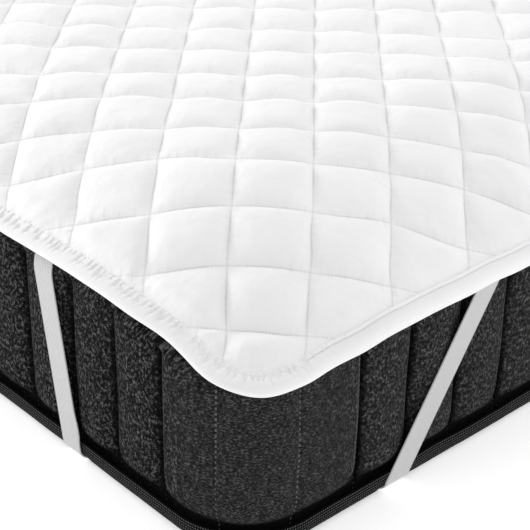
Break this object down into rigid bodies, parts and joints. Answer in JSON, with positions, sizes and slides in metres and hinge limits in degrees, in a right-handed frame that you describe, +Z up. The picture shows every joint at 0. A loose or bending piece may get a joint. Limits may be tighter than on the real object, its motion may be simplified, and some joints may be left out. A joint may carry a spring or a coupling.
{
  "type": "mattress protector on a mattress",
  "caption": "Quilted mattress protector with a bound edge, draped over a plain mattress and held by an elastic band under each corner.",
  "frame": {"origin": "on the surface it stands on, under the middle of the part", "axes": "+X across the bed, +Y along it from foot to head, +Z up"},
  "size_m": [1.4154, 2.0034, 0.2513],
  "materials": {
    "charcoal_ticking": "heathered knitted ticking, matte",
    "white_cotton": "soft quilted cloth, matte",
    "white_binding": "woven edge tape, matte",
    "grey_elastic": "ribbed elastic webbing, matte"
  },
  "bodies": {
    "root": {"mattress": "charcoal_ticking", "quilted_cloth": "white_cotton", "edge_binding": "white_binding", "elastic_band_foot_right": "grey_elastic", "elastic_band_foot_left": "grey_elastic", "elastic_band_head_right": "grey_elastic", "elastic_band_head_left": "grey_elastic"}
  },
  "joints": []
}
